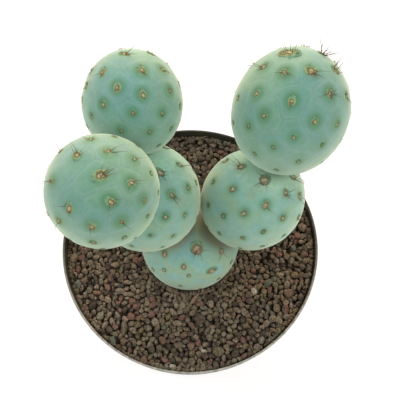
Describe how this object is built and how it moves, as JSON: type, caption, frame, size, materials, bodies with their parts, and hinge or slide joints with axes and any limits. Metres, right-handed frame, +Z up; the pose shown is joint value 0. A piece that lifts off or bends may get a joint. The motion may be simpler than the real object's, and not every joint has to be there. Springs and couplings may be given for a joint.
{
  "type": "potted cactus",
  "caption": "Branching cactus of round blue-green stem segments with felted areoles and short spines, standing in lava gravel in a round plastic pot",
  "frame": {"origin": "middle of the pot's flat underside, on the surface it stands on", "axes": "+Z up, -Y towards the front from which the plant is seen, +X to the right of that view"},
  "size_m": [0.1287, 0.1251, 0.2093],
  "materials": {
    "pot_plastic": "moulded satin",
    "lava_gravel": "rough broken stone",
    "stem_skin": "waxy satin plant skin"
  },
  "bodies": {
    "root": {"pot": "pot_plastic", "gravel": "lava_gravel", "stem_base": "stem_skin", "stem_left": "stem_skin", "stem_right": "stem_skin", "stem_left_back": "stem_skin", "stem_left_front": "stem_skin", "stem_right_back": "stem_skin"}
  },
  "joints": []
}
